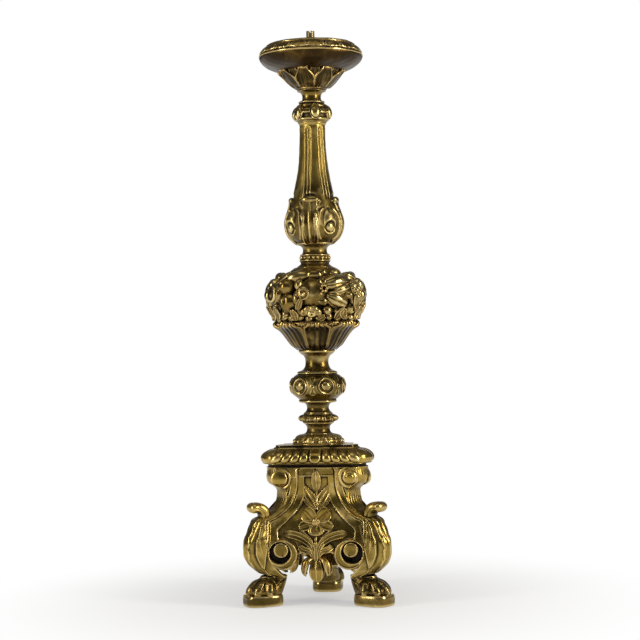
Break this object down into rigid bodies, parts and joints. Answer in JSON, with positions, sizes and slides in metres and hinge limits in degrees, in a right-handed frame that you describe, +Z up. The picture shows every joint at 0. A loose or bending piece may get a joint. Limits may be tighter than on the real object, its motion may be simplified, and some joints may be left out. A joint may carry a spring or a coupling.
{
  "type": "torchere candle stand",
  "caption": "Tall carved and gilded wooden candle stand: a three-sided base on paw feet, a turned and carved stem, and a drip pan with a metal candle socket.",
  "frame": {"origin": "on the stem axis at floor level, midway between the three feet", "axes": "+Z up along the stem, -Y towards the face that the picture shows, rear foot towards +Y"},
  "size_m": [0.3168, 0.2852, 1.193],
  "materials": {
    "gilding": "aged water gilding over bole, dark in the hollows, satin to bright on the ridges",
    "worn_gilding": "aged gilding, rubbed through to bole and wood on the high points",
    "bare_wood": "raw, oiled by age",
    "iron": "dull, browned by age"
  },
  "bodies": {
    "root": {"pad_left": "gilding", "pad_right": "gilding", "pad_rear": "gilding", "paw_left": "worn_gilding", "paw_right": "worn_gilding", "paw_rear": "worn_gilding", "paw_dowels": "bare_wood", "leg_left": "gilding", "leg_right": "gilding", "leg_rear": "gilding", "panel_front": "gilding", "panel_left": "gilding", "panel_right": "gilding", "scrolls_front": "worn_gilding", "scrolls_left": "worn_gilding", "scrolls_right": "worn_gilding", "volutes_front": "worn_gilding", "volutes_left": "worn_gilding", "volutes_right": "worn_gilding", "flower_front": "worn_gilding", "flower_left": "worn_gilding", "flower_right": "worn_gilding", "husk_front": "worn_gilding", "husk_left": "worn_gilding", "husk_right": "worn_gilding", "top_board": "gilding", "gadroon_moulding": "gilding", "top_plate": "gilding", "beaded_collar": "gilding", "foot_neck": "gilding", "leaf_ring": "gilding", "knop_neck": "gilding", "lower_knop": "gilding", "urn_neck": "gilding", "calyx": "gilding", "fruit_drum": "gilding", "fruit_garland": "worn_gilding", "beaded_neck": "gilding", "baluster": "gilding", "baluster_leaves": "worn_gilding", "upper_knop": "gilding", "upper_neck": "gilding", "leaf_cup": "gilding", "drip_pan": "gilding", "pan_rim": "worn_gilding", "candle_socket": "iron", "tie_rod": "iron", "rod_nut": "iron", "rod_washer": "iron"}
  },
  "joints": []
}
